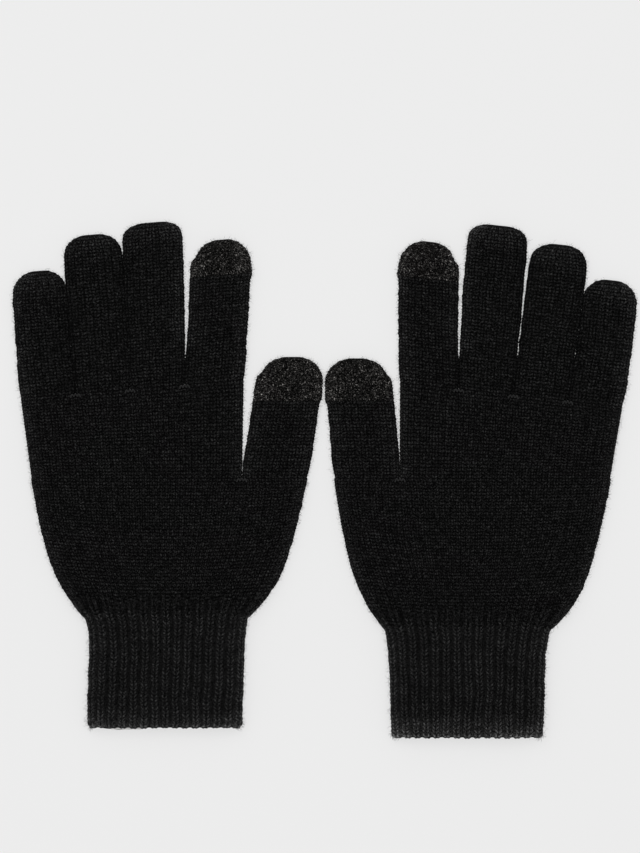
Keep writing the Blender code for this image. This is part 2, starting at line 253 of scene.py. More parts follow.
class Tube:
    """A flat knitted tube: rows from its start to its end, each between a low and a high edge point."""

    def __init__(self, low, high, thick, edge, round_in, lobes=None, pinch=None, parts=None, bow=None, seed=0,
                 kept=None):
        self.low = np.asarray(low, float)
        self.high = np.asarray(high, float)
        rows = len(self.low)
        self.rows = rows
        self.thick, self.edge, self.round_in = (np.broadcast_to(np.asarray(value, float), (rows,))
                                                for value in (thick, edge, round_in))
        self.lobes = lobes or [(0.0, 1.0, 0.0, 1.0)]
        self.pinch = np.zeros(rows) if pinch is None else np.asarray(pinch, float)
        self.parts = parts or [(0.0, 1.0, 1.0)]
        self.bow = np.zeros(rows) if bow is None else bow
        self.kept = kept  # for each row: how much its ribs keep together, and the two sides' spread
        self.seed = seed

    def stretch(self, rows):
        """The same tube from one row to another."""
        return Tube(self.low[rows], self.high[rows], self.thick[rows], self.edge[rows], self.round_in[rows],
                    self.lobes, self.pinch[rows], self.parts, self.bow[rows], self.seed,
                    None if self.kept is None else self.kept[rows])

    def profile(self, row):
        """The section's spots across, its upper and its lower line."""
        width = math.dist(self.low[row], self.high[row])
        edge, thick = self.edge[row], self.thick[row]
        spans = [lobe[:2] for lobe in self.lobes] + [part[:2] for part in self.parts]
        shares = np.unique(np.concatenate([a + (b - a) * HALF_COSINE for a, b in spans]).round(9))
        x = shares * width
        side = np.minimum(x, width - x)
        upper = bulge(edge, thick, side, min(self.round_in[row], width / 2))
        lower = bulge(edge, UNDERSIDE, side, min(UNDER_ROUND, width / 2))
        if self.pinch[row] > 0:
            upper_lobed, lower_lobed = np.array(upper), np.array(lower)
            for a, b, lobe_thick, lobe_round in self.lobes:
                here = (shares >= a) & (shares <= b)
                into = np.minimum(x[here] - a * width, b * width - x[here])
                half = (b - a) * width / 2
                upper_lobed[here] = bulge(edge, lobe_thick, into, min(lobe_round, half))
                lower_lobed[here] = bulge(edge, UNDERSIDE, into, min(UNDER_ROUND, half))
            upper += self.pinch[row] * (upper_lobed - upper)
            lower += self.pinch[row] * (lower_lobed - lower)
        spot = self.low[row] + (self.high[row] - self.low[row]) * shares[:, None]
        lift = SWELL * undulate(spot[:, 0], spot[:, 1], self.seed)
        upper = upper + lift * ease((upper - lower) / 6)
        return x, upper, lower, width

    def ring(self, row, half, inset=0.0):
        """Points round one section: over the top from low to high, and back underneath."""
        x, upper, lower, width = self.profile(row)
        if inset:
            inner = inset + (width - 2 * inset) * x / width
            top, bottom = np.interp(inner, x, upper), np.interp(inner, x, lower)
            middle, depth = (top + bottom) / 2, (top - bottom) / 2
            depth = np.maximum(depth * 0.15, depth - inset)
            x, upper, lower = inner, middle + depth, middle - depth
        top_x, top_z = self.spaced(x, upper, width, half, row)
        low_x, low_z = self.spaced(x, lower, width, half, row)
        across = np.concatenate([top_x[:-1], low_x[:0:-1]])
        height = np.concatenate([top_z[:-1], low_z[:0:-1]])
        line = (self.high[row] - self.low[row]) / max(width, 1e-9)
        flat = self.low[row] + across[:, None] * line
        flat[:, 1] += self.bow[row] * (2 * across / max(width, 1e-9) - 1) ** 2
        return np.column_stack([flat, height])

    def spaced(self, x, z, width, half, row):
        """A line's points at equal steps along it, each part of it with its own share of them."""
        arc = np.concatenate([[0], np.cumsum(np.hypot(np.diff(x), np.diff(z)))])
        total = sum(part[2] for part in self.parts)
        marks, at = [0.0], 0.0
        for *_, weight in self.parts:
            at += weight
            marks.append(at / total * half)
        stops = np.interp([0.0] + [part[1] * width for part in self.parts], x, arc)
        wanted = np.interp(np.arange(half + 1), marks, stops)
        if self.kept is not None and self.kept[row, 0] > 0:
            share, low_spread, high_spread = self.kept[row]
            q = np.linspace(-1, 1, half + 1)
            spread = np.where(q < 0, -low_spread * (-q.clip(max=0)) ** 4, high_spread * q.clip(min=0) ** 4)
            together = low_spread + (width - low_spread - high_spread) * (q + 1) / 2 + spread
            together *= arc[-1] / width
            wanted = wanted + share * (together - wanted)
        return np.interp(wanted, arc, x), np.interp(wanted, arc, z)

    def skin(self, half, rows=None, inset=0.0):
        rows = range(self.rows) if rows is None else rows
        return np.array([self.ring(row, half, inset) for row in rows])


def outward(skin):
    """Directions out of a skin, and the step from one row to the next."""
    across = np.roll(skin, -1, axis=1) - np.roll(skin, 1, axis=1)
    along = np.gradient(skin, axis=0)
    normal = np.cross(across, along)
    normal /= np.maximum(np.linalg.norm(normal, axis=2, keepdims=True), 1e-9)
    return normal, along


def knit_relief(legs, courses):
    """Height of plain stitches and the rise of their legs: two legs make a stitch, a V that opens upward."""
    out = np.abs(legs / 2 % 1 - 0.5)
    leg = 0.15 + 0.85 * np.sin(2 * math.pi * out) + 0.1 * (1 - 2 * out)
    crest = 0.25 + 0.75 * np.sin(math.pi * (courses % 1))
    return STITCH_RELIEF * leg * crest, CHEVRON * COURSE * (2 * out - 0.5)


def rib_relief(ribs, courses):
    """Height of the ribs with their stitches and the rise of the stitches' legs."""
    lean = np.abs(ribs % 1 - 0.5) / RIB_HALF
    body = 1 - ease((lean - 0.72) / 0.5)
    leg = np.where(lean < 1, np.sin(math.pi * np.clip(lean, 0, 1)) ** 0.7, 0)
    crest = np.abs(np.sin(math.pi * (courses % 1))) ** 0.8
    relief = RIB_RELIEF * body + RIB_STITCH_RELIEF * leg * (0.2 + 0.8 * crest)
    return relief, RIB_CHEVRON * (np.clip(lean, 0, 1) - 0.5)


def painted_side_light_and_shade(columns, column_width, sides=("open", "open")):
    """Painted light: a painted highlight at a tube's open sides, painted shade where two tubes press
    together.
    """
    at = np.arange(columns)
    half = columns // 2
    tone = np.ones(columns)
    for side, away in ((sides[0], np.minimum(at, columns - at)), (sides[1], np.abs(at - half))):
        if side == "open":
            tone += SIDE_PAINTED_HIGHLIGHT * (1 - ease(away * column_width / SIDE_BAND))
        else:
            tone -= CREASE_SHADE * (1 - ease(away * column_width / CREASE_BAND))
    return tone


def stand_out(skin, normal, along, relief, rise):
    """A skin with its stitches raised off it and their legs set along it, clear of the floor."""
    steps = along / np.maximum(np.linalg.norm(along, axis=2, keepdims=True), 1e-9)
    outer = skin + steps * rise[:, :, None] + normal * relief[:, :, None]
    outer[:, :, 2] = np.maximum(outer[:, :, 2], FLOOR_CLEAR)
    return outer


# ---- meshes

def shell_faces(rows, columns, start, flip, last=None):
    """Four-cornered faces of a tube's grid, and the same corners in rows and columns."""
    r, c = np.meshgrid(np.arange(rows - 1), np.arange(columns), indexing="ij")
    r, c = r.ravel(), c.ravel()
    corners = [(r, c), (r, c + 1), (r + 1, c + 1), (r + 1, c)]
    if flip:
        corners = [corners[0], corners[3], corners[2], corners[1]]
    index = []
    for row, column in corners:
        at = start + row * columns + column % columns
        if last is not None:
            at = np.where(row == rows - 1, start + row * columns + last[column % columns], at)
        index.append(at)
    spots = [np.column_stack([column, row]) for row, column in corners]
    return np.column_stack(index), np.stack(spots, axis=1)


def rim_faces(outer_start, outer_columns, inner_start, inner_columns, at_end):
    step = outer_columns // inner_columns
    faces = []
    for i in range(inner_columns):
        outer = [outer_start + (i * step + k) % outer_columns for k in range(step + 1)]
        inner = [inner_start + i, inner_start + (i + 1) % inner_columns]
        if at_end:
            faces.append(outer + inner[::-1])
        else:
            faces.append(outer[::-1] + inner)
    return faces


def fibres(skin, normal, area, seed, length=2.2, nap=NAP):
    """Loose fibres that stand off a skin: thin bent spindles of ten faces."""
    rng = np.random.default_rng(seed)
    count = int(nap * area)
    rows, columns = skin.shape[:2]
    r = rng.integers(1, rows - 1, count)
    c = rng.integers(0, columns, count)
    beside = rng.random(count) < SIDE_NAP
    near = rng.integers(-columns // 40, columns // 40 + 1, count) + rng.integers(0, 2, count) * (columns // 2)
    c = np.where(beside, near % columns, c)
    base, out = skin[r, c], normal[r, c]
    aside = np.cross(out, rng.normal(size=(count, 3)))
    aside /= np.maximum(np.linalg.norm(aside, axis=1, keepdims=True), 1e-9)
    other = np.cross(out, aside)
    long = length * rng.uniform(0.4, 1.6, (count, 1))
    lift = rng.uniform(0.25, 1.0, (count, 1))
    middle = base + (out * lift + aside * 0.6) * long * 0.5
    tip = middle + (out * lift * rng.uniform(-0.4, 0.8, (count, 1)) + aside * 0.7) * long * 0.5
    sink = base - out * 0.25
    points = []
    for spot, girth in ((sink, FIBRE_THICK), (middle, FIBRE_THICK * 0.8)):
        for angle in (0, 2 * math.pi / 3, 4 * math.pi / 3):
            points.append(spot + (other * math.cos(angle) + out * math.sin(angle)) * girth)
    points.append(tip)
    points = np.stack(points, axis=1)
    points[:, :, 2] = np.maximum(points[:, :, 2], FLOOR_CLEAR)
    faces = [[2, 1, 0], [0, 1, 4, 3], [1, 2, 5, 4], [2, 0, 3, 5], [3, 4, 6], [4, 5, 6], [5, 3, 6]]
    return points.reshape(-1, 3), faces


def add_object(name, data):
    thing = bpy.data.objects.new(name, data)
    bpy.context.scene.collection.objects.link(thing)
    return thing


def folded(columns):
    """For each point of a ring that lies closed flat, the point of the first half that it falls on."""
    at = np.arange(columns)
    return np.minimum(at, columns - at)


def knit_object(name, outer, inner, material, fuzz, tone, closed_tip=False, cells=(LEG_COLUMNS, COURSE_ROWS),
                ribbed=None):
    """One closed shell from an outer and an inner skin, with its stitches counted in its UV map."""
    rows, columns = outer.shape[:2]
    in_rows, in_columns = inner.shape[:2]
    last = folded(columns) if closed_tip else None
    in_last = folded(in_columns) if closed_tip else None
    inner_start = rows * columns
    outer_quads, outer_spots = shell_faces(rows, columns, 0, False, last)
    inner_quads, inner_spots = shell_faces(in_rows, in_columns, inner_start, True, in_last)
    faces = outer_quads.tolist() + inner_quads.tolist()
    scale = np.array([1 / cells[0], 1 / cells[1]])
    in_scale = np.array([columns / in_columns / cells[0], rows / in_rows / cells[1]])
    spots = [(outer_spots * scale).reshape(-1, 2), (inner_spots * in_scale).reshape(-1, 2)]
    rims = rim_faces(0, columns, inner_start, in_columns, False)
    if not closed_tip:
        last_ring = inner_start + (in_rows - 1) * in_columns
        rims += rim_faces((rows - 1) * columns, columns, last_ring, in_columns, True)
    rims_from = len(faces)
    faces += rims
    spots.append(np.zeros((sum(len(face) for face in rims), 2)))
    nap_from = inner_start + in_rows * in_columns
    strands, pattern = fuzz
    count = len(strands) // STRAND_POINTS
    for i in range(count):
        faces += [[nap_from + STRAND_POINTS * i + k for k in face] for face in pattern]
    spots.append(np.full((sum(len(face) for face in pattern) * count, 2), 0.5))
    points = np.concatenate([outer.reshape(-1, 3), inner.reshape(-1, 3), strands]) * MM
    data = bpy.data.meshes.new(name)
    data.from_pydata(points.tolist(), [], faces)
    uv = data.uv_layers.new(name="stitches")
    uv.data.foreach_set("uv", np.concatenate(spots).astype(np.float32).ravel())
    # Tone of each point: painted highlight and painted shade on the stitches, a lighter tone on the nap's
    # fibres
    tones = np.ones(len(points), np.float32)
    tones[:rows * columns] = tone.ravel()
    tones[nap_from:] = NAP_TONE
    data.attributes.new("tone", "FLOAT", "POINT").data.foreach_set("value", tones)
    if ribbed is not None:
        shares = np.zeros(len(points), np.float32)
        shares[:rows * columns] = np.broadcast_to(ribbed, (rows, columns)).ravel()
        data.attributes.new("ribbed", "FLOAT", "POINT").data.foreach_set("value", shares)
    data.shade_smooth()
    for i in range(rims_from, rims_from + len(rims)):
        data.polygons[i].use_smooth = False
    if closed_tip:
        drop_loose_points(data)
    data.materials.append(material)
    return add_object(name, data)


def drop_loose_points(data):
    mesh = bmesh.new()
    mesh.from_mesh(data)
    loose = [vert for vert in mesh.verts if not vert.link_faces]
    bmesh.ops.delete(mesh, geom=loose, context="VERTS")
    mesh.to_mesh(data)
    mesh.free()


def close_flat(ring):
    """Lays the two halves of a ring on each other, so that a tube closes there."""
    count = len(ring)
    back = (count - np.arange(count)) % count
    ring[:, 2] = (ring[:, 2] + ring[back, 2]) / 2
    ring[count // 2:] = ring[back[count // 2:]]


def knit_tube(name, tube, legs, material, closed_tip=False, gather=None, nap=NAP, seed=0, even_end=True,
              sides=("open", "open"), light=1.0):
    """A plain knitted tube: stitches raised on its outer skin, a plain skin inside it."""
    half = legs * LEG_COLUMNS
    smooth_skin = tube.skin(half)
    rows, columns = smooth_skin.shape[:2]
    leg_grid = np.broadcast_to(np.arange(columns) / LEG_COLUMNS, (rows, columns))
    course_grid = np.broadcast_to(np.arange(rows)[:, None] / COURSE_ROWS, (rows, columns))
    if closed_tip:
        close_flat(smooth_skin[-1])
    normal, along = outward(smooth_skin)
    swell, rise = knit_relief(leg_grid, course_grid)
    if closed_tip:
        from_tip = np.clip((rows - 1 - np.arange(rows)) / 3, 0, 1)[:, None]
        swell, rise = swell * from_tip, rise * from_tip
    uneven = 1 + 0.25 * np.random.default_rng(seed).standard_normal(swell.shape)
    uneven[:2] = 1
    if even_end:
        uneven[-2:] = 1
    swell = swell * uneven
    # Painted light: a painted highlight at open sides and towards a plain tip, painted shade in pressed
    # creases
    tone = painted_side_light_and_shade(columns, LEG_WIDTH / LEG_COLUMNS, sides)[None, :] * np.reshape(light, (-1, 1))
    tone = np.broadcast_to(tone, (rows, columns))
    ribbed = None
    if gather is not None:
        share = np.broadcast_to(np.arange(columns) / half * RIBS, (rows, columns))
        rib_swell, rib_rise = rib_relief(share, gather / RIB_COURSE)
        ribbed = np.clip(1 - gather / RIBS_FADE, 0, 1) ** 1.5
        swell = swell * (1 - ribbed) + rib_swell * ribbed * NECK_RELIEF
        rise = rise * (1 - ribbed) + rib_rise * ribbed
    outer = stand_out(smooth_skin, normal, along, swell, rise)
    coarse = [*range(0, rows - 1, 7), rows - 1]
    if closed_tip:
        outer[-1] = smooth_skin[-1]
        coarse = coarse[:-1]
    inner = tube.skin(legs, coarse, KNIT_WALL)
    if closed_tip:
        close_flat(inner[-1])
    area = np.linalg.norm(smooth_skin[:, 0] - smooth_skin[:, columns // 2], axis=1).mean()
    area *= 2 * np.linalg.norm(np.diff(smooth_skin.mean(axis=1), axis=0), axis=1).sum() / 100
    fuzz = fibres(outer, normal, area, seed + 5, nap=nap)
    return knit_object(name, outer, inner, material, fuzz, tone, closed_tip, ribbed=ribbed)


# ---- finishes

class Finish:
    """A material being mixed: short names for its nodes and links."""

    def __init__(self, name, roughness, specular, sheen=0.0):
        self.material = bpy.data.materials.new(name)
        self.material.use_nodes = True
        self.tree = self.material.node_tree
        self.shader = self.tree.nodes["Principled BSDF"]
        self.shader.inputs["Roughness"].default_value = roughness
        self.shader.inputs["Specular IOR Level"].default_value = specular
        self.shader.inputs["Sheen Weight"].default_value = sheen
        self.shader.inputs["Sheen Roughness"].default_value = 0.6

    def add(self, kind):
        return self.tree.nodes.new(f"ShaderNode{kind}")

    def put(self, socket, value):
        if isinstance(value, bpy.types.NodeSocket):
            self.tree.links.new(value, socket)
        else:
            socket.default_value = value

    def math(self, operation, *values):
        node = self.add("Math")
        node.operation = operation
        for socket, value in zip(node.inputs, values):
            self.put(socket, value)
        return node.outputs[0]

    def times(self, first, second):
        return self.math("MULTIPLY", first, second)

    def plus(self, first, second):
        return self.math("ADD", first, second)

    def minus(self, first, second):
        return self.math("SUBTRACT", first, second)

    def wave(self, value):
        """The sine of half a turn for each unit."""
        return self.math("SINE", self.times(value, math.pi))

    def between(self, value, low, high):
        """0 below low, 1 above high, smooth between them."""
        node = self.add("MapRange")
        node.interpolation_type = "SMOOTHSTEP"
        self.put(node.inputs["Value"], value)
        node.inputs["From Min"].default_value = low
        node.inputs["From Max"].default_value = high
        return node.outputs[0]

    def noise(self, scale, detail, where=None):
        node = self.add("TexNoise")
        node.inputs["Scale"].default_value = scale
        node.inputs["Detail"].default_value = detail
        if where is None:
            where = self.turned_place()
        self.put(node.inputs["Vector"], where)
        return node.outputs["Fac"]

    def object_place(self):
        node = self.add("TexCoord")
        return node.outputs["Object"]

    def turned_place(self):
        """The object's place turned out of level, so that no flat face lies along a noise's own grid."""
        turn = self.add("Mapping")
        turn.inputs["Rotation"].default_value = (0.7, 0.5, 0.4)
        self.put(turn.inputs["Vector"], self.object_place())
        return turn.outputs["Vector"]

    def stitches(self):
        """Legs, or ribs, and courses counted over the piece."""
        node = self.add("UVMap")
        node.uv_map = "stitches"
        split = self.add("SeparateXYZ")
        self.tree.links.new(node.outputs["UV"], split.inputs[0])
        return split.outputs[0], split.outputs[1]

    def attribute(self, name):
        node = self.add("Attribute")
        node.attribute_name = name
        return node.outputs["Fac"]

    def blend(self, share, first, second):
        node = self.add("Mix")
        node.data_type = "RGBA"
        self.put(node.inputs["Factor"], share)
        node.inputs[6].default_value = (*first, 1.0)
        node.inputs[7].default_value = (*second, 1.0)
        return node.outputs[2]

    def colour(self, value):
        self.put(self.shader.inputs["Base Color"], value)

    def bump(self, height, distance, strength=1.0):
        node = self.add("Bump")
        node.inputs["Strength"].default_value = strength
        node.inputs["Distance"].default_value = distance
        self.put(node.inputs["Height"], height)
        self.tree.links.new(node.outputs["Normal"], self.shader.inputs["Normal"])


def grey(level, warm=0.0):
    return (level * (1 + warm), level, level * (1 - warm))


def plain_pattern(finish, legs, courses):
    """1 on a plain stitch, 0 in the holes round it, where as colour it paints shade."""
    stitch = finish.math("FRACT", finish.times(legs, 0.5))
    out = finish.math("ABSOLUTE", finish.minus(stitch, 0.5))
    leg = finish.times(finish.math("SINE", finish.times(out, 2 * math.pi)), 0.8)
    leg = finish.plus(leg, finish.times(finish.minus(0.5, out), 0.4))
    crest = finish.wave(finish.math("FRACT", courses))
    raised = finish.times(leg, finish.math("POWER", crest, 1.3))
    return finish.plus(finish.times(raised, 0.9), 0.1)


def rib_pattern(finish, ribs, courses):
    """1 on the legs of a rib's stitches, a little less on its body, 0 between the ribs, where it paints
    shade.
    """
    lean = finish.math("ABSOLUTE", finish.minus(finish.math("FRACT", ribs), 0.5))
    lean = finish.math("DIVIDE", lean, RIB_HALF)
    crest = finish.wave(finish.math("FRACT", courses))
    leg = finish.wave(finish.math("MINIMUM", lean, 1.0))
    leg = finish.times(finish.math("POWER", leg, 1.5), finish.math("POWER", crest, 1.4))
    body = finish.minus(1.0, finish.between(lean, 0.7, 1.15))
    return finish.minus(leg, finish.times(body, 0.1))


def knit_finish(name, hole_shade, yarn, kind="plain", warm=0.0, grain=0.0, sparkle=0.0, chance_range=1.3,
                loose=6.0):
    """Yarn in stitches: painted shade in the holes, uneven brightness from stitch to stitch, fibres and nap.
    """
    finish = Finish(name, 0.95, 0.015, sheen=0.006)
    across, courses = finish.stitches()
    stitch = (rib_pattern if kind == "rib" else plain_pattern)(finish, across, courses)
    if kind == "gather":
        ribs = finish.times(across, RIBS / PALM_LEGS)
        rib = rib_pattern(finish, ribs, finish.times(courses, COURSE / RIB_COURSE))
        share = finish.attribute("ribbed")
        plain = finish.times(stitch, finish.minus(1.0, share))
        stitch = finish.plus(plain, finish.times(finish.times(rib, share), RIB_YARN / yarn))
        # Painted shade in the ribs' gaps, growing towards the neck
        near = finish.math("POWER", share, 3.0)
        hole_shade = finish.plus(finish.times(near, RIB_GAP_SHADE - hole_shade), hole_shade)
    cell = finish.add("CombineXYZ")
    finish.put(cell.inputs[0], finish.math("FLOOR", across))
    finish.put(cell.inputs[1], finish.math("FLOOR", courses))
    chance = finish.add("TexWhiteNoise")
    chance.noise_dimensions = "2D"
    finish.put(chance.inputs["Vector"], cell.outputs[0])
    each = finish.math("POWER", chance.outputs["Value"], 1.6)
    each = finish.plus(finish.times(each, chance_range), 1 - chance_range * 0.38)
    place = finish.turned_place()
    fibre = finish.noise(1800.0, 0.0, place)
    cloud = finish.noise(60.0, 3.0, place)
    each = finish.times(each, finish.plus(finish.times(fibre, loose), 1 - loose / 2))
    each = finish.times(each, finish.plus(finish.times(cloud, 0.3), 0.85))
    # The stitch pattern paints shade into the holes between stitches
    level = finish.plus(finish.times(stitch, yarn), hole_shade)
    if grain:
        grit = finish.between(finish.noise(1600.0, 1.0, place), 0.46, 0.62)
        level = finish.plus(level, finish.times(grit, grain))
        glint = finish.between(finish.noise(1350.0, 1.0, place), 0.6, 0.7)
        level = finish.plus(level, finish.times(glint, sparkle))
    level = finish.times(level, finish.math("MAXIMUM", each, 0.12))
    # The points' tone: painted highlight and painted shade, and the nap's lighter tone
    level = finish.times(level, finish.attribute("tone"))
    tint = finish.add("CombineColor")
    finish.put(tint.inputs[0], finish.times(level, 1 + warm))
    finish.put(tint.inputs[1], level)
    finish.put(tint.inputs[2], finish.times(level, 1 - warm))
    finish.colour(tint.outputs[0])
    height = finish.plus(finish.times(stitch, 0.6), finish.times(fibre, 0.5))
    finish.bump(height, 0.0004, 0.6)
    return finish.material


# Levels of the rib's yarn and of the painted shade in its gaps
RIB_GAP_SHADE = 0.005
RIB_YARN = 0.0145
black_knit = knit_finish("black_knit", 0.0001, 0.0112, chance_range=0.8)
gather_knit = knit_finish("gather_knit", 0.0001, 0.0112, kind="gather", chance_range=0.8)
rib_knit = knit_finish("rib_knit", RIB_GAP_SHADE, RIB_YARN, kind="rib", chance_range=0.55, loose=4.2)
touch_knit = knit_finish("touch_yarn", 0.0002, 0.005, warm=0.045, grain=0.013, sparkle=0.06)


def plain_finish(name, level, roughness, specular, scale):
    finish = Finish(name, roughness, specular)
    fibre = finish.noise(scale, 3.0)
    finish.colour(finish.blend(fibre, grey(level * 0.6), grey(level * 1.4)))
    finish.bump(fibre, 0.0002, 0.6)
    return finish.material


thread_yarn = plain_finish("fork_yarn", 0.024, 0.9, 0.05, 2200.0)
elastic_thread = plain_finish("elastic_thread", 0.012, 0.6, 0.2, 1500.0)


def satin_finish():
    """Woven satin of the blank care label: fine lines across it."""
    finish = Finish("label_cloth", 0.45, 0.4)
    place = finish.object_place()
    split = finish.add("SeparateXYZ")
    finish.tree.links.new(place, split.inputs[0])
    line = finish.math("SINE", finish.times(split.outputs[1], 2 * math.pi / 0.00028))
    line = finish.plus(finish.times(line, 0.5), 0.5)
    weave = finish.plus(line, finish.times(finish.noise(3000.0, 2.0, place), 0.6))
    finish.colour(finish.blend(finish.between(weave, 0.2, 1.4), grey(0.62, 0.01), grey(0.8, 0.01)))
    finish.bump(weave, 0.00005, 0.5)
    return finish.material


label_cloth = satin_finish()


# ---- one glove

class Glove:
    """Where a glove's pieces lie, from the hinges of the frame."""

    def __init__(self, name, seed):
        self.name = name
        self.seed = seed
        self.side = 1 if name == "left" else -1
        wrist = joints[f"{name}_wrist_fold"]["pos_m"]
        self.wrist = np.array(wrist[:2]) / MM
        self.roots, self.folds, self.lines, self.rows = {}, {}, {}, {}
        for digit in DIGITS:
            root = np.array(joints[f"{name}_{digit}_root_fold"]["pos_m"][:2]) / MM
            fold = np.array(joints[f"{name}_{digit}_middle_fold"]["pos_m"][:2]) / MM
            axis = np.array(joints[f"{name}_{digit}_root_fold"]["axis"][:2])
            self.roots[digit] = root
            self.folds[digit] = fold
            self.lines[digit] = (fold - root) / np.linalg.norm(fold - root)
            self.rows[digit] = axis * math.copysign(1, axis[0])
        self.thumb_line = self.roots["thumb"][1]

    def ordered(self, little, thumb):
        """Edge points from low X to high X."""
        return (little, thumb) if self.side > 0 else (thumb, little)

    def edges(self, out, along):
        """Both edges of a tube, from low X to high X, from how far out it reaches at each side."""
        lines = []
        for side, way in (("little", -self.side), ("thumb", self.side)):
            lines.append(np.column_stack([self.wrist[0] + way * out[side], self.wrist[1] + along]))
        return self.ordered(*lines)

    def leg_parts(self, digits):
        """Parts of a palm's width with the legs of each digit, from low X to high X."""
        digits = digits if self.side > 0 else digits[::-1]
        total = sum(DIGITS[d]["root"] * SCALE[d] for d in digits)
        at, parts = 0.0, []
        for d in digits:
            width = DIGITS[d]["root"] * SCALE[d] / total
            parts.append((at, at + width, DIGITS[d]["legs"]))
            at += width
        parts[-1] = (parts[-1][0], 1.0, parts[-1][2])
        return parts

    def shares(self, parts):
        """Lobes as (start, end, thick, round) from low X to high X; parts go from little to thumb."""
        parts = parts if self.side > 0 else parts[::-1]
        total = sum(part[0] for part in parts)
        at, lobes = 0.0, []
        for width, thick, rounding in parts:
            lobes.append((at / total, (at + width) / total, thick, rounding))
            at += width
        return lobes

    def digit_seed(self, digit):
        return self.seed + 31 * (1 + list(DIGITS).index(digit))

    def point(self, across, along):
        """A place from how far it lies towards the thumb and from the wrist."""
        return np.array([self.wrist[0] + self.side * across, self.wrist[1] + along])


def finger_width(shape, at):
    """Width of an empty finger at distances from its root."""
    root = shape["root"] - SIDE_GAP
    width = root + (shape["full"] - root) * np.minimum(1.0, at / (FULL_AT * shape["length"]))
    width = width + (SIDE_GAP - FORK_ROOM) * (1 - ease(at / FORK_OPENS))
    into_cap = (at - (shape["length"] - shape["cap"])) / shape["cap"]
    cap = (1 - np.clip(into_cap, 0, 1) ** shape["boxy"]) ** (1 / shape["boxy"])
    return width * cap - 2 * STITCH_OVERHANG * np.minimum(cap, 1)


def finger_stations(start, end, closed_tip):
    """Distances from the root at which a finger has its rows, drawn together where the tip closes."""
    if not closed_tip:
        count = max(2, round((end - start) / COURSE)) * COURSE_ROWS
        return np.linspace(start, end, count + 1)
    body = end - TIP_CLOSES
    count = max(2, round((body - start) / COURSE)) * COURSE_ROWS
    return np.concatenate([np.linspace(start, body, count + 1), [end - left for left in TIP_ROWS]])


def finger_tube(glove, digit, start, end, closed_tip=False):
    """A finger's smooth form between two distances from its root."""
    shift, belly, wider, longer = LIES[glove.name][digit]
    shape = dict(DIGITS[digit])
    shape["length"] += longer
    if closed_tip:
        end = shape["length"]
    at = finger_stations(start, end, closed_tip)
    middle = glove.roots[digit] + glove.lines[digit] * at[:, None]
    share = at / shape["length"]
    middle[:, 0] += shift * share ** 1.5 + belly * np.sin(math.pi * share)
    wide = finger_width(shape, at)
    wide = wide + wider * ease(at / 14) * np.minimum(1, wide / 20) * (1 - 0.5 * ease((share - 0.6) / 0.4))
    wide = wide + PRESSED * ease(at / 4) * (1 - ease((at - 10) / 10))
    row = glove.rows[digit]
    low, high = middle - row * (wide / 2)[:, None], middle + row * (wide / 2)[:, None]
    free = ease(at / FORK_OPENS)
    seed = glove.digit_seed(digit)
    low = low + row * (rough_edge(at, seed + 11) * free)[:, None]
    high = high + row * (rough_edge(at, seed + 12) * free)[:, None]
    side = NOTCHES.get((glove.name, digit), 0)
    step = NOTCH_DEPTH * ease((at - (shape["length"] - NOTCH_FROM_TIP)) / 1.4)
    step *= 1 - ease((at - (shape["length"] - NOTCH_FROM_TIP + 3)) / 4)
    above_seam = at - (shape["length"] - shape["touch"])
    swollen = NOTCH_DEPTH * 0.8 * ease((above_seam + 3) / 4) * (1 - 0.6 * ease(above_seam / 7))
    if side < 0:
        low, high = low + row * step[:, None], high + row * swollen[:, None]
    if side > 0:
        low, high = low - row * swollen[:, None], high - row * step[:, None]
    tip = np.clip((at - (shape["length"] - TIP_ROUND)) / TIP_ROUND, 0, 0.995)
    thick = FINGER_EDGE + (FINGER_TOP - FINGER_EDGE) * np.sqrt(1 - tip ** 2)
    return Tube(low, high, thick, FINGER_EDGE, shape["full"] / 2, seed=glove.seed)


def make_digit(glove, digit):
    """A finger or thumb: its root piece, its end piece and, where it has one, its touch tip."""
    name = f"{glove.name}_{digit}"
    shape = DIGITS[digit]
    legs, length, plain_tip = shape["legs"], shape["length"], not shape["touch"]
    hand, base, end = f"{glove.name}_hand", f"{name}_base", f"{name}_end"
    seed = glove.digit_seed(digit)
    tube = finger_tube(glove, digit, 0.0, ROOT_PIECE)
    root = knit_tube(f"{name}_root_knit", tube, legs, black_knit, seed=seed,
                     sides=glove.ordered(*LYING_AT_ROOT[digit]))
    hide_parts(f"{name}_base")
    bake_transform(root)
    seam = length - shape["touch"]
    tube = finger_tube(glove, digit, ROOT_PIECE, seam, plain_tip)
    light = 1.0
    # A plain finger gets a painted highlight towards its tip
    if plain_tip:
        from_tip = np.linspace(seam - ROOT_PIECE, 0, tube.rows)
        light = TIP_PAINTED_HIGHLIGHT + (1 - TIP_PAINTED_HIGHLIGHT) * ease(from_tip / TIP_BAND)
    rest = knit_tube(f"{name}_end_knit", tube, legs, black_knit, plain_tip, seed=seed + 1,
                     sides=glove.ordered(*LYING[digit]), light=light)
    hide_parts(f"{name}_end")
    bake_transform(rest)
    if not plain_tip:
        tube = finger_tube(glove, digit, seam, length, True)
        tip = knit_tube(f"{name}_touch_knit", tube, legs, touch_knit, True, nap=NAP * 1.5, seed=seed + 2,
                        even_end=False)
        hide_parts(f"{name}_touch_tip")
        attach(tip, end)


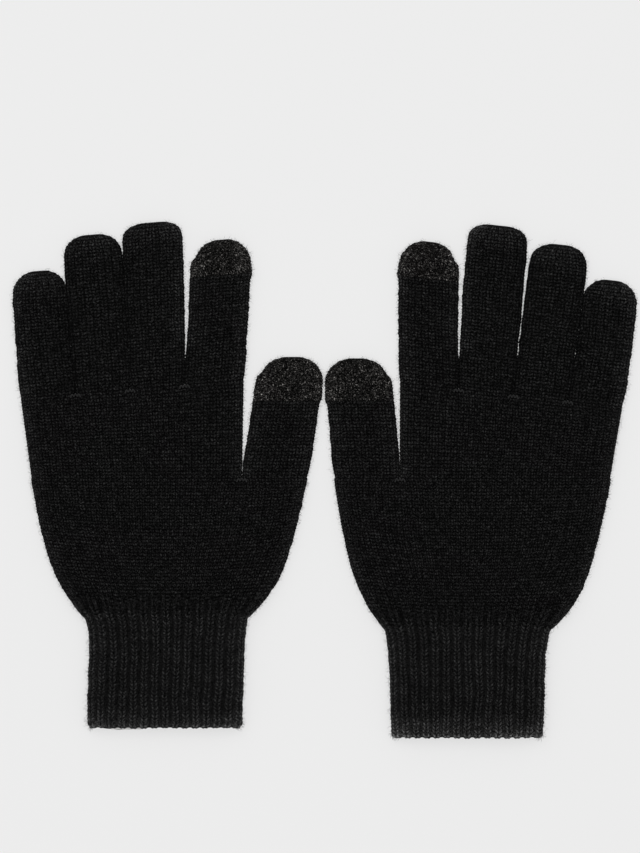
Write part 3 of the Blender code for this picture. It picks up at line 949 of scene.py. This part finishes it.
def make_palms(glove):
    """The palm: its gathered neck and lower trunk up to the thumb's fork, and the trunk above it."""
    name = glove.name
    rise = glove.thumb_line - glove.wrist[1]
    fork = TRUNK_AT_THUMB / 2 - THUMB_LEAN[name]
    count = round(rise / COURSE) * COURSE_ROWS
    along = np.linspace(0, rise, count + 1)
    share = along / rise
    thumb_root = DIGITS["thumb"]["root"]
    out = {}
    for side, end in (("little", TRUNK_AT_THUMB - fork), ("thumb", fork + thumb_root)):
        half, round_share, power, swell = SHOULDERS[name][side]
        spread = round_share * (1 - (1 - share) ** power) + (1 - round_share) * share
        swell = swell * np.sin(math.pi * share) ** 0.5
        rough = rough_edge(along, glove.seed + (61 if side == "little" else 62)) * ease(along / 6)
        out[side] = half + (end - half) * spread + swell + 0.15 * share + rough * ease((rise - along) / 8)
    edges = glove.edges(out, along)
    lobes = glove.shares([(TRUNK_AT_THUMB, PALM_TOP, PALM_ROUND), (thumb_root, FINGER_TOP, thumb_root / 2)])
    pinch = np.clip(1 - (rise - along) / FORK_CREASE, 0, 1) ** 3
    edge = PALM_EDGE + (CUFF_EDGE - PALM_EDGE) * (1 - ease(along / 22))
    open_out = ease(along / GATHER)
    thick = CUFF_TOP + (PALM_TOP - CUFF_TOP) * open_out
    round_in = CUFF_ROUND + (PALM_ROUND - CUFF_ROUND) * open_out
    parts = glove.leg_parts([*FINGERS, "thumb"])
    bow = PALM_BOW * np.sin(math.pi * share)
    spreads = glove.ordered(out["little"] - out["little"][0], out["thumb"] - out["thumb"][0])
    kept = np.column_stack([1 - ease(along / RIBS_KEEP), spreads[0], spreads[1]])
    tube = Tube(edges[0], edges[1], thick, edge, round_in, lobes, pinch, parts, bow, glove.seed, kept)
    split = int(round(GATHER_PIECE / COURSE)) * COURSE_ROWS
    gathered, rest = slice(0, split + 1), slice(split, None)
    neck = knit_tube(f"{name}_gathered_palm_knit", tube.stretch(gathered), PALM_LEGS, gather_knit,
                     gather=along[gathered][:, None], seed=glove.seed + 3)
    lower = knit_tube(f"{name}_lower_palm_knit", tube.stretch(rest), PALM_LEGS, black_knit,
                      seed=glove.seed + 4)
    for piece in (neck, lower):
        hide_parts(f"{name}_lower_palm")
        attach(piece, f"{name}_hand")

    knuckles = glove.point(-KNUCKLE_LEAN[name], PALM_LENGTH[name])
    row = glove.rows["index"]
    reach = row * (ROW_WIDTH / 2 - STITCH_OVERHANG)
    top = (knuckles - reach, knuckles + reach)
    fork_spot = glove.point(fork, rise)
    little_spot = glove.point(fork - TRUNK_AT_THUMB, rise)
    bottom = glove.ordered(little_spot, fork_spot)
    inset = np.array([STITCH_OVERHANG, 0])
    bottom = (bottom[0] + inset, bottom[1] - inset)
    length = PALM_LENGTH[name] - rise
    count = round(length / COURSE) * COURSE_ROWS
    share = np.linspace(0, 1, count + 1)[:, None]
    low_edge = bottom[0] + (top[0] - bottom[0]) * share
    high_edge = bottom[1] + (top[1] - bottom[1]) * share
    parts = [(DIGITS[d]["root"], FINGER_TOP, DIGITS[d]["root"] / 2) for d in FINGERS]
    pinch = np.clip(1 - (1 - share[:, 0]) * length / FORK_CREASE, 0, 1) ** 3
    tube = Tube(low_edge, high_edge, PALM_TOP, PALM_EDGE, PALM_ROUND, glove.shares(parts), pinch,
                glove.leg_parts(FINGERS), seed=glove.seed)
    upper = knit_tube(f"{name}_upper_palm_knit", tube, PALM_LEGS - DIGITS["thumb"]["legs"], black_knit,
                      seed=glove.seed + 4)
    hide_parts(f"{name}_upper_palm")
    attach(upper, f"{name}_hand")
    return lower, upper


def cuff_tube(glove, low, high, course_rows):
    """The cuff's smooth form between two distances along from the wrist, both below it."""
    name = glove.name
    count = max(2, round((high - low) / RIB_COURSE * course_rows))
    along = np.linspace(low, high, count + 1)
    inset = (RIB_RELIEF + RIB_STITCH_RELIEF * 0.5) * np.clip(-along / 6, 0, 1)
    out = {}
    for side in ("little", "thumb"):
        below, reach = zip(*CUFF_SIDES[name][side])
        rough = rough_edge(along, glove.seed + (71 if side == "little" else 72)) * ease(-along / 6)
        out[side] = np.interp(-along, below, reach) - inset + rough
    edges = glove.edges(out, along)
    return Tube(edges[0], edges[1], CUFF_TOP, CUFF_EDGE, CUFF_ROUND, seed=glove.seed), along


def wander(glove, skin, along):
    """Moves the ribs a little to each side, as they lie in a worn cuff."""
    share = np.arange(skin.shape[1]) / skin.shape[1] * 2
    inward = np.minimum(share % 1, 1 - share % 1) * 2
    free = ease(inward / 0.3)[None, :] * ease(-along / 9)[:, None]
    free = free * ease((along + CUFF_LENGTH + 6) / 12)[:, None]
    shift = undulate(skin[:, :, 0] * 0.6, skin[:, :, 1], glove.seed + 40, 16.0, 40.0)
    skin[:, :, 0] += 0.6 * shift * free
    return skin


def cuff_painted_light(light):
    """Painted light on the cuff's yarn: a painted highlight towards the hem and at its sides."""
    return light[:, None] * painted_side_light_and_shade(2 * CUFF_COLUMNS, RIB_WIDTH / RIB_COLUMNS)[None, :]


def make_cuff(glove):
    """The ribbed cuff with its elastic and its bound-off hem."""
    name = glove.name
    hem_line = -CUFF_LENGTH + HEM_LENGTH
    tube, along = cuff_tube(glove, hem_line, 0.0, RIB_ROWS)
    skin = wander(glove, tube.skin(CUFF_COLUMNS), along)
    normal, step = outward(skin)
    rows = len(skin)
    ribs = np.broadcast_to(np.arange(2 * CUFF_COLUMNS) / RIB_COLUMNS, (rows, 2 * CUFF_COLUMNS))
    courses = np.broadcast_to(np.arange(rows)[:, None] / RIB_ROWS, ribs.shape)
    relief, rise = rib_relief(ribs, courses)
    relief = relief * (1 - (1 - NECK_RELIEF) * ease((along + 8.0) / 8.0)[:, None])
    uneven = 1 + 0.05 * np.random.default_rng(glove.seed + 8).standard_normal(relief.shape)
    uneven[[0, 1, -2, -1]] = 1
    outer = stand_out(skin, normal, step, relief * uneven, rise)
    inner = tube.skin(CUFF_COLUMNS // 6, [*range(0, rows - 1, 8), rows - 1], KNIT_WALL)
    fuzz = fibres(outer, normal, CUFF_AREA, glove.seed + 9, CUFF_FIBRE)
    # Painted highlight on the cuff's rows, growing towards the hem
    at_line, _, reach = HEM_PAINTED_HIGHLIGHT[name]
    light = at_line + (1 - at_line) * ease((along - hem_line) / reach)
    cuff = knit_object(f"{name}_cuff_rib", outer, inner, rib_knit, fuzz, cuff_painted_light(light),
                       cells=(RIB_COLUMNS, RIB_ROWS))
    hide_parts(f"{name}_cuff")
    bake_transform(cuff)
    make_elastic(glove, tube)
    make_hem(glove, hem_line)


def make_hem(glove, hem_line):
    """The bound-off edge: the ribs end in a rounded, slightly scalloped roll."""
    name = glove.name
    tube, along = cuff_tube(glove, -HEM_END[name], hem_line, HEM_ROWS)
    skin = wander(glove, tube.skin(CUFF_COLUMNS), along)
    from_edge = along - along[0]
    corner = 1 - ease(from_edge / 2.2)
    middle = skin[:, :, 0].mean(axis=1, keepdims=True)
    skin[:, :, 0] += (middle - skin[:, :, 0]) * (0.034 * corner ** 2)[:, None]
    normal, step = outward(skin)
    rows = len(skin)
    ribs = np.broadcast_to(np.arange(2 * CUFF_COLUMNS) / RIB_COLUMNS, (rows, 2 * CUFF_COLUMNS))
    courses = np.broadcast_to((along[:, None] - hem_line) / RIB_COURSE, ribs.shape)
    relief, rise = rib_relief(ribs, courses)
    turn = np.clip(from_edge / 1.5, 0, 1)
    relief = relief * round_off(turn)[:, None] + (1 - turn[:, None]) * 0.15
    outer = stand_out(skin, normal, step, relief, rise * turn[:, None])
    lean = np.abs(ribs[0] % 1 - 0.5) / RIB_HALF
    each_rib = np.random.default_rng(glove.seed + 12).uniform(0.1, 1, 2 * RIBS + 1)
    reach = np.interp(ribs[0], np.arange(2 * RIBS + 1), each_rib)
    scallop = (0.25 + 0.55 * reach) * (1 - ease((lean - 0.5) / 0.8)) + 0.12 * np.cos(6 * math.pi * ribs[0])
    outer[:, :, 1] -= (1 - turn)[:, None] * scallop[None, :]
    inner = tube.skin(CUFF_COLUMNS // 6, [0, rows // 2, rows - 1], KNIT_WALL)
    inner[0, :, 1] += 0.3
    fuzz = fibres(outer, normal, HEM_AREA, glove.seed + 10, CUFF_FIBRE)
    # Painted highlight on the hem, strongest at its edge
    at_line, at_edge, _ = HEM_PAINTED_HIGHLIGHT[name]
    light = at_edge + (at_line - at_edge) * ease(from_edge / HEM_LENGTH)
    hem = knit_object(f"{name}_hem_bind", outer, inner, rib_knit, fuzz, cuff_painted_light(light),
                      cells=(RIB_COLUMNS, HEM_ROWS))
    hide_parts(f"{name}_cuff_hem")
    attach(hem, f"{name}_cuff")


def make_elastic(glove, tube):
    """The elastic laid in round the inside of the cuff, in one thread."""
    around = 60  # points across one face
    points = []
    for k in range(ELASTIC_TURNS * 2 * around):
        below = CUFF_LENGTH - ELASTIC_FROM_HEM - ELASTIC_PITCH * k / (2 * around)
        row = int(round((CUFF_LENGTH - HEM_LENGTH - below) / RIB_COURSE * RIB_ROWS))
        spot = tube.ring(row, around, KNIT_WALL + ELASTIC_RADIUS)[k % (2 * around)]
        points.append((spot[0], glove.wrist[1] - below, spot[2]))
    elastic = thread(f"{glove.name}_laid_elastic", points, ELASTIC_RADIUS, elastic_thread)
    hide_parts(f"{glove.name}_cuff_elastic")
    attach(elastic, f"{glove.name}_cuff")


def thread(name, points, radius, material):
    """A yarn that follows a line of points, round and closed at its ends."""
    curve = bpy.data.curves.new(name, "CURVE")
    curve.dimensions = "3D"
    curve.bevel_depth = radius * MM
    curve.bevel_resolution = 2
    curve.use_fill_caps = True
    spline = curve.splines.new("NURBS")
    spline.points.add(len(points) - 1)
    for knot, point in zip(spline.points, points):
        knot.co = (*(np.asarray(point) * MM), 1.0)
    spline.use_endpoint_u = True
    spline.order_u = 3
    curve.materials.append(material)
    thing = add_object(name, curve)
    bpy.ops.object.select_all(action="DESELECT")
    thing.select_set(True)
    bpy.context.view_layer.objects.active = thing
    bpy.ops.object.convert(target="MESH")
    thing = bpy.context.view_layer.objects.active
    thing.data.shade_smooth()
    return thing


def surface(piece):
    """Finds the height of a piece's top at a place."""
    corners = [tuple(vert.co) for vert in piece.data.vertices]
    faces = [tuple(face.vertices) for face in piece.data.polygons if len(face.vertices) == 4]
    tree = BVHTree.FromPolygons(corners, faces)

    def height(spot):
        hit = tree.ray_cast(Vector((spot[0] * MM, spot[1] * MM, 0.1)), Vector((0, 0, -1)))[0]
        return 0.0 if hit is None else hit.z / MM
    return height


def make_fork_stitches(glove, lower, upper):
    """The few turns of yarn that close the knit at the foot of each fork."""
    name = glove.name
    places = []
    at = glove.point(-KNUCKLE_LEAN[name], PALM_LENGTH[name])
    row = glove.rows["index"]
    across = ROW_WIDTH / 2
    for digit in ("index", "middle", "ring"):
        across -= DIGITS[digit]["root"]
        places.append((digit, at + row * glove.side * across, row, upper))
    fork = glove.point(TRUNK_AT_THUMB / 2 - THUMB_LEAN[name], glove.thumb_line - glove.wrist[1])
    places.append(("thumb", fork, np.array([1.0, 0.0]), lower))
    for digit, fork, row, cloth in places:
        height = surface(cloth)
        down = np.array([row[1], -row[0]])
        points = []
        for k in range(7):
            spot, back = fork + row * (k - 3) * FORK_STEP, FORK_BACK[k % 2]
            on_cloth = height(spot + down * max(back, FORK_ON_CLOTH))
            points.append((*(spot + down * back), on_cloth + 0.2))
        stitch = thread(f"{name}_{digit}_fork_yarn", points, FORK_YARN_RADIUS, thread_yarn)
        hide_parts(f"{name}_{digit}_fork_stitch")
        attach(stitch, f"{name}_hand")


def make_slack_yarn():
    """The yarn of the left hem that hangs a little slack below the label."""
    low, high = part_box("left_care_label")
    hem = joints["left_wrist_fold"]["pos_m"][1] / MM - HEM_END["left"]
    start, end = low.x / MM - 5.0, high.x / MM + 0.5
    points = []
    for k in range(13):
        t = k / 12
        sag = SLACK_SAG * math.sin(math.pi * t) ** 0.7 + 0.12 * math.sin(19 * t)
        points.append((start + (end - start) * t, hem - 0.1 - sag, 1.2 - 0.4 * math.sin(math.pi * t)))
    yarn = thread("left_slack_hem_yarn", points, SLACK_RADIUS, thread_yarn)
    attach(yarn, "left_cuff")


def make_label():
    """The blank care label in the left cuff, its edge just out of the hem."""
    low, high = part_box("left_care_label")
    bpy.ops.mesh.primitive_grid_add(x_subdivisions=28, y_subdivisions=26, size=1.0)
    label = bpy.context.view_layer.objects.active
    label.name = "left_blank_care_label"
    label.data.name = label.name
    width, length = high.x - low.x, high.y - low.y
    for vert in label.data.vertices:
        x, y = vert.co.x + 0.5, vert.co.y + 0.5
        wave = 0.0005 * math.sin(2.4 * math.pi * x + 0.6) * (1 - y) + 0.0001 * math.sin(9 * y)
        vert.co = (low.x + x * width, low.y + y * length, high.z + 0.0006 + wave)
    solid = label.modifiers.new("cloth", "SOLIDIFY")
    solid.thickness = 0.0002
    solid.offset = 0.0
    bpy.ops.object.modifier_apply(modifier="cloth")
    label.data.shade_smooth()
    label.data.materials.append(label_cloth)
    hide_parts("left_care_label")
    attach(label, "left_cuff")


for glove in (Glove("left", 101), Glove("right", 707)):
    make_cuff(glove)
    lower, upper = make_palms(glove)
    for digit in DIGITS:
        make_digit(glove, digit)
    make_fork_stitches(glove, lower, upper)
make_label()
make_slack_yarn()


# ---- stage

def add_floor():
    bpy.ops.mesh.primitive_plane_add(size=6.0, location=(0, 0, 0))
    floor = bpy.context.view_layer.objects.active
    floor.name = "floor"
    finish = Finish("lit_floor", 0.9, 0.1)
    finish.colour((0.22, 0.22, 0.22, 1.0))
    finish.shader.inputs["Emission Color"].default_value = (1.0, 1.0, 1.0, 1.0)
    finish.shader.inputs["Emission Strength"].default_value = 0.61
    floor.data.materials.append(finish.material)


def add_light(name, place, size, power):
    data = bpy.data.lights.new(name, "AREA")
    data.shape = "SQUARE"
    data.size = size
    data.energy = power
    light = add_object(name, data)
    light.location = place
    light.rotation_euler = (-Vector(place)).to_track_quat("-Z", "Y").to_euler()


def add_camera():
    data = bpy.data.cameras.new("camera")
    data.sensor_width = 36.0
    data.lens = 264.0
    data.clip_end = 20.0
    camera = add_object("camera", data)
    camera.location = (-0.00216, 0.02616, 3.006)
    bpy.context.scene.camera = camera


add_floor()
add_light("overhead", (0.0, 0.1, 1.8), 2.0, 18.0)
add_light("side", (-0.9, 0.9, 1.6), 1.2, 4.4)
world = bpy.data.worlds.new("studio")
bpy.context.scene.world = world
world.use_nodes = True
world.node_tree.nodes["Background"].inputs["Color"].default_value = (1.0, 1.0, 1.0, 1.0)
world.node_tree.nodes["Background"].inputs["Strength"].default_value = 0.58
bpy.context.scene.view_settings.view_transform = "Standard"
add_camera()
